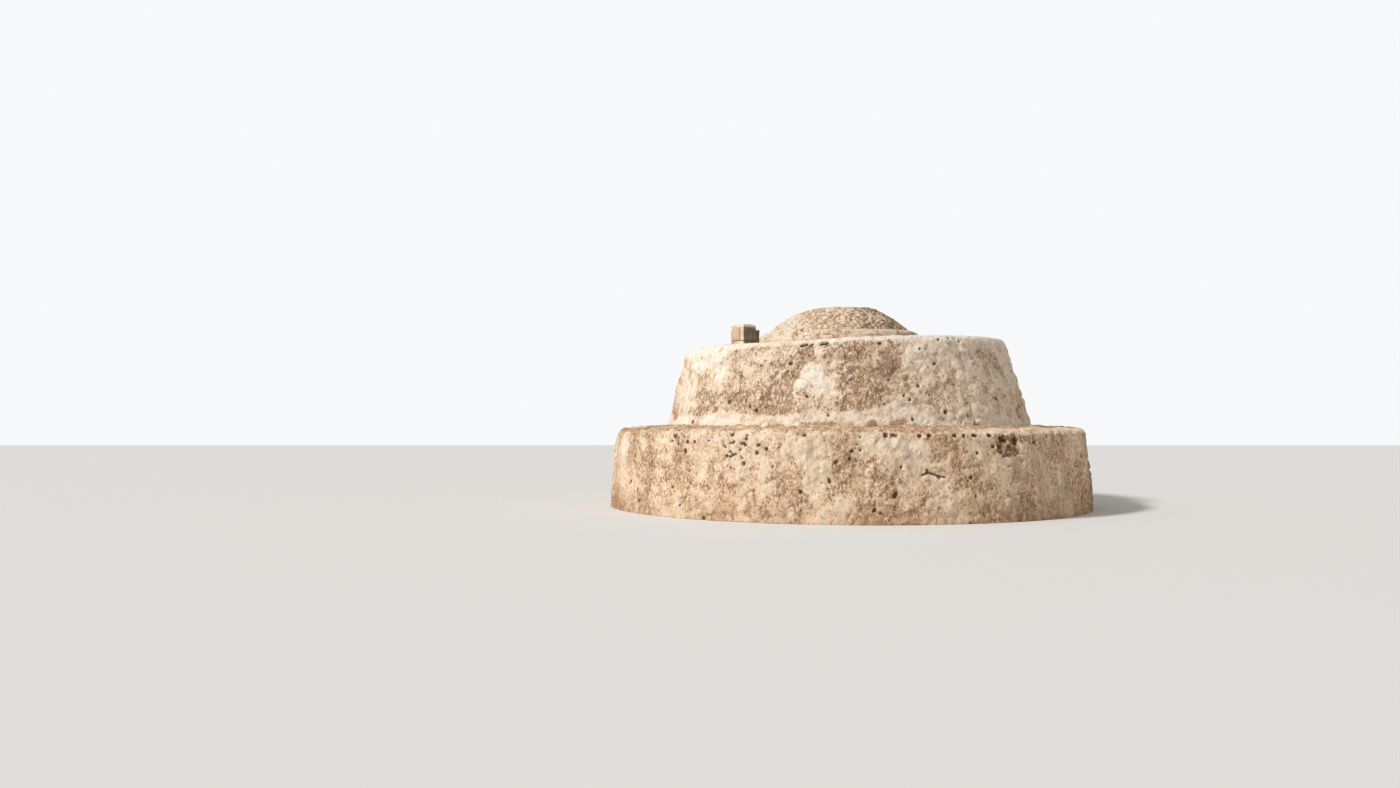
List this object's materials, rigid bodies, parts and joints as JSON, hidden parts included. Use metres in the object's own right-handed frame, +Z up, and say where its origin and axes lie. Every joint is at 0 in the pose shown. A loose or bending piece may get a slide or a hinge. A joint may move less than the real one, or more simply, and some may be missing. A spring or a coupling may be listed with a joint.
{
  "type": "trullo house",
  "caption": "Round two-tiered dry stone trullo house, limewashed, with a flat terrace, a small rubble dome and a chimney.",
  "frame": {"origin": "ground level, at the middle of the bottom of the house's box, on the axis of the two tiers", "axes": "+Z up; the side that the picture shows faces -Y, and the doorway is on the +Y side"},
  "size_m": [10.14, 10.1261, 4.25],
  "materials": {
    "lime_wall": "weathered limewash over rubble",
    "terrace_lime": "thick limewashed mortar",
    "dome_rubble": "bare small rubble",
    "vault_stone": "bare corbelled stone",
    "roof_stone": "bare stone slabs",
    "chimney_tufa": "cut tufa blocks",
    "chimney_mortar": "lime mortar"
  },
  "bodies": {
    "root": {"lower_wall_front": "lime_wall", "lower_wall_front_right": "lime_wall", "lower_wall_right": "lime_wall", "lower_wall_back_right": "lime_wall", "lower_wall_back_left": "lime_wall", "lower_wall_left": "lime_wall", "lower_wall_front_left": "lime_wall", "door_side_left": "lime_wall", "door_side_right": "lime_wall", "door_lintel": "roof_stone", "passage_slab_outer": "roof_stone", "passage_slab_middle": "roof_stone", "passage_slab_inner": "roof_stone", "wall_over_door": "lime_wall", "upper_wall_front": "lime_wall", "upper_wall_front_right": "lime_wall", "upper_wall_right": "lime_wall", "upper_wall_back_right": "lime_wall", "upper_wall_back": "lime_wall", "upper_wall_back_left": "lime_wall", "upper_wall_left": "lime_wall", "upper_wall_front_left": "lime_wall", "terrace_front": "terrace_lime", "terrace_right": "terrace_lime", "terrace_back": "terrace_lime", "terrace_left": "terrace_lime", "vault_course_1": "vault_stone", "vault_course_2": "vault_stone", "vault_course_3": "vault_stone", "vault_course_4": "vault_stone", "vault_course_5": "vault_stone", "vault_course_6": "vault_stone", "vault_course_7": "vault_stone", "vault_course_8": "vault_stone", "closing_slab": "vault_stone", "dome_front": "dome_rubble", "dome_right": "dome_rubble", "dome_back": "dome_rubble", "dome_left": "dome_rubble", "dome_crown": "dome_rubble", "chimney_lower_course": "chimney_tufa", "chimney_upper_course": "chimney_tufa", "chimney_cap": "chimney_mortar", "chimney_side_block": "chimney_tufa"}
  },
  "joints": []
}
